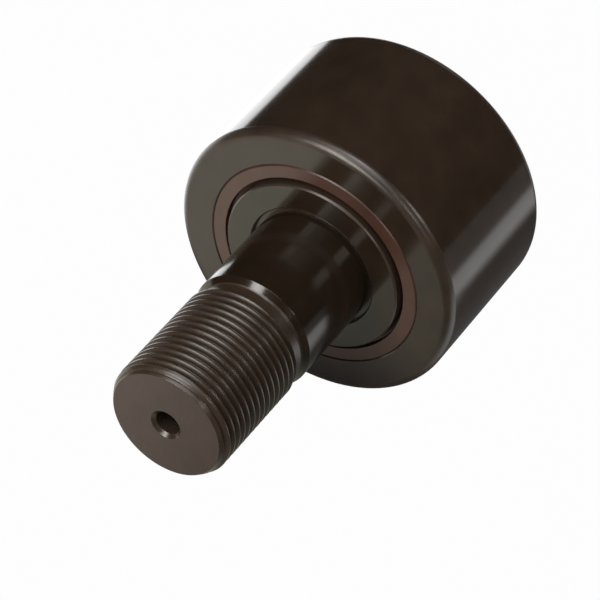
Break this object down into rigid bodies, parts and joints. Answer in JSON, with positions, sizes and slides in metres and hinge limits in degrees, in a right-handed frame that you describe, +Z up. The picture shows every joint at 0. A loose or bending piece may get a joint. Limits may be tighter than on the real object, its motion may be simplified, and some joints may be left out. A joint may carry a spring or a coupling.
{
  "type": "stud-type cam follower",
  "caption": "Stud-type cam follower: a thick black oxide roller on loose needle rollers round a fixed threaded stud, sealed on both sides.",
  "frame": {"origin": "centre of the end plate's outer face, the face that is clamped against the machine", "axes": "+X along the stud from the roller towards its threaded end, with the roller at X below 0; +Z up, with the stud lying level as it is usually mounted; the shank's radial lubrication hole opens towards -Y"},
  "size_m": [0.1099, 0.0762, 0.0762],
  "materials": {
    "stud_steel": "satin",
    "plate_steel": "satin",
    "ring_steel": "satin",
    "seal_plastic": "matte",
    "needle_steel": "polished"
  },
  "bodies": {
    "stud_body": {"stud": "stud_steel", "end_plate": "plate_steel"},
    "roller": {"outer_ring": "ring_steel", "front_seal": "seal_plastic", "rear_seal": "seal_plastic"},
    "needle_01_body": {"needle_01": "needle_steel"},
    "needle_02_body": {"needle_02": "needle_steel"},
    "needle_03_body": {"needle_03": "needle_steel"},
    "needle_04_body": {"needle_04": "needle_steel"},
    "needle_05_body": {"needle_05": "needle_steel"},
    "needle_06_body": {"needle_06": "needle_steel"},
    "needle_07_body": {"needle_07": "needle_steel"},
    "needle_08_body": {"needle_08": "needle_steel"},
    "needle_09_body": {"needle_09": "needle_steel"},
    "needle_10_body": {"needle_10": "needle_steel"},
    "needle_11_body": {"needle_11": "needle_steel"},
    "needle_12_body": {"needle_12": "needle_steel"},
    "needle_13_body": {"needle_13": "needle_steel"},
    "needle_14_body": {"needle_14": "needle_steel"},
    "needle_15_body": {"needle_15": "needle_steel"},
    "needle_16_body": {"needle_16": "needle_steel"},
    "needle_17_body": {"needle_17": "needle_steel"},
    "needle_18_body": {"needle_18": "needle_steel"},
    "needle_19_body": {"needle_19": "needle_steel"},
    "needle_20_body": {"needle_20": "needle_steel"},
    "needle_21_body": {"needle_21": "needle_steel"},
    "needle_22_body": {"needle_22": "needle_steel"},
    "needle_23_body": {"needle_23": "needle_steel"},
    "needle_24_body": {"needle_24": "needle_steel"},
    "needle_25_body": {"needle_25": "needle_steel"},
    "needle_26_body": {"needle_26": "needle_steel"},
    "needle_27_body": {"needle_27": "needle_steel"},
    "needle_28_body": {"needle_28": "needle_steel"}
  },
  "joints": [
    {"name": "roller_spin", "type": "hinge", "parent": "stud_body", "child": "roller", "pos_m": [-0.02341, 0, 0], "axis": [1, 0, 0], "continuous": true},
    {"name": "needle_set_orbit", "type": "hinge", "parent": "stud_body", "child": "needle_01_body", "pos_m": [-0.02341, 0, 0], "axis": [1, 0, 0], "continuous": true},
    {"name": "needle_02_spin", "type": "hinge", "parent": "needle_01_body", "child": "needle_02_body", "pos_m": [-0.02341, 0.02091, 0.00477], "axis": [1, 0, 0], "continuous": true},
    {"name": "needle_03_spin", "type": "hinge", "parent": "needle_01_body", "child": "needle_03_body", "pos_m": [-0.02341, 0.01933, 0.00931], "axis": [1, 0, 0], "continuous": true},
    {"name": "needle_04_spin", "type": "hinge", "parent": "needle_01_body", "child": "needle_04_body", "pos_m": [-0.02341, 0.01677, 0.01337], "axis": [1, 0, 0], "continuous": true},
    {"name": "needle_05_spin", "type": "hinge", "parent": "needle_01_body", "child": "needle_05_body", "pos_m": [-0.02341, 0.01337, 0.01677], "axis": [1, 0, 0], "continuous": true},
    {"name": "needle_06_spin", "type": "hinge", "parent": "needle_01_body", "child": "needle_06_body", "pos_m": [-0.02341, 0.00931, 0.01933], "axis": [1, 0, 0], "continuous": true},
    {"name": "needle_07_spin", "type": "hinge", "parent": "needle_01_body", "child": "needle_07_body", "pos_m": [-0.02341, 0.00477, 0.02091], "axis": [1, 0, 0], "continuous": true},
    {"name": "needle_08_spin", "type": "hinge", "parent": "needle_01_body", "child": "needle_08_body", "pos_m": [-0.02341, 0, 0.02145], "axis": [1, 0, 0], "continuous": true},
    {"name": "needle_09_spin", "type": "hinge", "parent": "needle_01_body", "child": "needle_09_body", "pos_m": [-0.02341, -0.00477, 0.02091], "axis": [1, 0, 0], "continuous": true},
    {"name": "needle_10_spin", "type": "hinge", "parent": "needle_01_body", "child": "needle_10_body", "pos_m": [-0.02341, -0.00931, 0.01933], "axis": [1, 0, 0], "continuous": true},
    {"name": "needle_11_spin", "type": "hinge", "parent": "needle_01_body", "child": "needle_11_body", "pos_m": [-0.02341, -0.01337, 0.01677], "axis": [1, 0, 0], "continuous": true},
    {"name": "needle_12_spin", "type": "hinge", "parent": "needle_01_body", "child": "needle_12_body", "pos_m": [-0.02341, -0.01677, 0.01337], "axis": [1, 0, 0], "continuous": true},
    {"name": "needle_13_spin", "type": "hinge", "parent": "needle_01_body", "child": "needle_13_body", "pos_m": [-0.02341, -0.01933, 0.00931], "axis": [1, 0, 0], "continuous": true},
    {"name": "needle_14_spin", "type": "hinge", "parent": "needle_01_body", "child": "needle_14_body", "pos_m": [-0.02341, -0.02091, 0.00477], "axis": [1, 0, 0], "continuous": true},
    {"name": "needle_15_spin", "type": "hinge", "parent": "needle_01_body", "child": "needle_15_body", "pos_m": [-0.02341, -0.02145, 0], "axis": [1, 0, 0], "continuous": true},
    {"name": "needle_16_spin", "type": "hinge", "parent": "needle_01_body", "child": "needle_16_body", "pos_m": [-0.02341, -0.02091, -0.00477], "axis": [1, 0, 0], "continuous": true},
    {"name": "needle_17_spin", "type": "hinge", "parent": "needle_01_body", "child": "needle_17_body", "pos_m": [-0.02341, -0.01933, -0.00931], "axis": [1, 0, 0], "continuous": true},
    {"name": "needle_18_spin", "type": "hinge", "parent": "needle_01_body", "child": "needle_18_body", "pos_m": [-0.02341, -0.01677, -0.01337], "axis": [1, 0, 0], "continuous": true},
    {"name": "needle_19_spin", "type": "hinge", "parent": "needle_01_body", "child": "needle_19_body", "pos_m": [-0.02341, -0.01337, -0.01677], "axis": [1, 0, 0], "continuous": true},
    {"name": "needle_20_spin", "type": "hinge", "parent": "needle_01_body", "child": "needle_20_body", "pos_m": [-0.02341, -0.00931, -0.01933], "axis": [1, 0, 0], "continuous": true},
    {"name": "needle_21_spin", "type": "hinge", "parent": "needle_01_body", "child": "needle_21_body", "pos_m": [-0.02341, -0.00477, -0.02091], "axis": [1, 0, 0], "continuous": true},
    {"name": "needle_22_spin", "type": "hinge", "parent": "needle_01_body", "child": "needle_22_body", "pos_m": [-0.02341, 0, -0.02145], "axis": [1, 0, 0], "continuous": true},
    {"name": "needle_23_spin", "type": "hinge", "parent": "needle_01_body", "child": "needle_23_body", "pos_m": [-0.02341, 0.00477, -0.02091], "axis": [1, 0, 0], "continuous": true},
    {"name": "needle_24_spin", "type": "hinge", "parent": "needle_01_body", "child": "needle_24_body", "pos_m": [-0.02341, 0.00931, -0.01933], "axis": [1, 0, 0], "continuous": true},
    {"name": "needle_25_spin", "type": "hinge", "parent": "needle_01_body", "child": "needle_25_body", "pos_m": [-0.02341, 0.01337, -0.01677], "axis": [1, 0, 0], "continuous": true},
    {"name": "needle_26_spin", "type": "hinge", "parent": "needle_01_body", "child": "needle_26_body", "pos_m": [-0.02341, 0.01677, -0.01337], "axis": [1, 0, 0], "continuous": true},
    {"name": "needle_27_spin", "type": "hinge", "parent": "needle_01_body", "child": "needle_27_body", "pos_m": [-0.02341, 0.01933, -0.00931], "axis": [1, 0, 0], "continuous": true},
    {"name": "needle_28_spin", "type": "hinge", "parent": "needle_01_body", "child": "needle_28_body", "pos_m": [-0.02341, 0.02091, -0.00477], "axis": [1, 0, 0], "continuous": true}
  ],
  "couplings": [
    {"joint": "needle_set_orbit", "follows": "roller_spin", "ratio": 0.5555},
    {"joint": "needle_02_spin", "follows": "roller_spin", "ratio": 4.4487},
    {"joint": "needle_03_spin", "follows": "roller_spin", "ratio": 4.4487},
    {"joint": "needle_04_spin", "follows": "roller_spin", "ratio": 4.4487},
    {"joint": "needle_05_spin", "follows": "roller_spin", "ratio": 4.4487},
    {"joint": "needle_06_spin", "follows": "roller_spin", "ratio": 4.4487},
    {"joint": "needle_07_spin", "follows": "roller_spin", "ratio": 4.4487},
    {"joint": "needle_08_spin", "follows": "roller_spin", "ratio": 4.4487},
    {"joint": "needle_09_spin", "follows": "roller_spin", "ratio": 4.4487},
    {"joint": "needle_10_spin", "follows": "roller_spin", "ratio": 4.4487},
    {"joint": "needle_11_spin", "follows": "roller_spin", "ratio": 4.4487},
    {"joint": "needle_12_spin", "follows": "roller_spin", "ratio": 4.4487},
    {"joint": "needle_13_spin", "follows": "roller_spin", "ratio": 4.4487},
    {"joint": "needle_14_spin", "follows": "roller_spin", "ratio": 4.4487},
    {"joint": "needle_15_spin", "follows": "roller_spin", "ratio": 4.4487},
    {"joint": "needle_16_spin", "follows": "roller_spin", "ratio": 4.4487},
    {"joint": "needle_17_spin", "follows": "roller_spin", "ratio": 4.4487},
    {"joint": "needle_18_spin", "follows": "roller_spin", "ratio": 4.4487},
    {"joint": "needle_19_spin", "follows": "roller_spin", "ratio": 4.4487},
    {"joint": "needle_20_spin", "follows": "roller_spin", "ratio": 4.4487},
    {"joint": "needle_21_spin", "follows": "roller_spin", "ratio": 4.4487},
    {"joint": "needle_22_spin", "follows": "roller_spin", "ratio": 4.4487},
    {"joint": "needle_23_spin", "follows": "roller_spin", "ratio": 4.4487},
    {"joint": "needle_24_spin", "follows": "roller_spin", "ratio": 4.4487},
    {"joint": "needle_25_spin", "follows": "roller_spin", "ratio": 4.4487},
    {"joint": "needle_26_spin", "follows": "roller_spin", "ratio": 4.4487},
    {"joint": "needle_27_spin", "follows": "roller_spin", "ratio": 4.4487},
    {"joint": "needle_28_spin", "follows": "roller_spin", "ratio": 4.4487}
  ]
}
